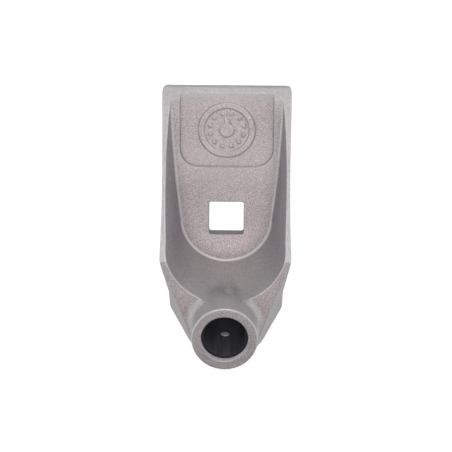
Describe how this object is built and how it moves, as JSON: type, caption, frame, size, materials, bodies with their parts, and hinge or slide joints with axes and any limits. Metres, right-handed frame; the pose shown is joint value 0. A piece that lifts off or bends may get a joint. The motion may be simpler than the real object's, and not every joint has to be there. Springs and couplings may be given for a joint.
{
  "type": "cast socket bracket",
  "caption": "Cast aluminium bracket: flat plate with a square-neck bolt slot, wedge side walls and a lined tubular socket that holds an upright rod, held by a side locking screw.",
  "frame": {"origin": "centre of the plate's outline on its flat back face", "axes": "+Z from the back face towards the socket's open mouth, +Y towards the thin flat end of the plate, +X to the right seen from the mouth side with +Y up"},
  "size_m": [0.0478, 0.1084, 0.044],
  "materials": {
    "cast_aluminium": "shot-blasted die casting, matt",
    "black_polymer": "moulded, matt",
    "screw_steel": "zinc-plated"
  },
  "bodies": {
    "bracket": {"bracket_casting": "cast_aluminium", "bore_liner": "black_polymer"},
    "screw": {"locking_screw": "screw_steel"}
  },
  "joints": [
    {"name": "locking_screw_travel", "type": "slide", "parent": "bracket", "child": "screw", "axis": [0, -1, 0], "range_m": [-0.001, 0.004]}
  ]
}
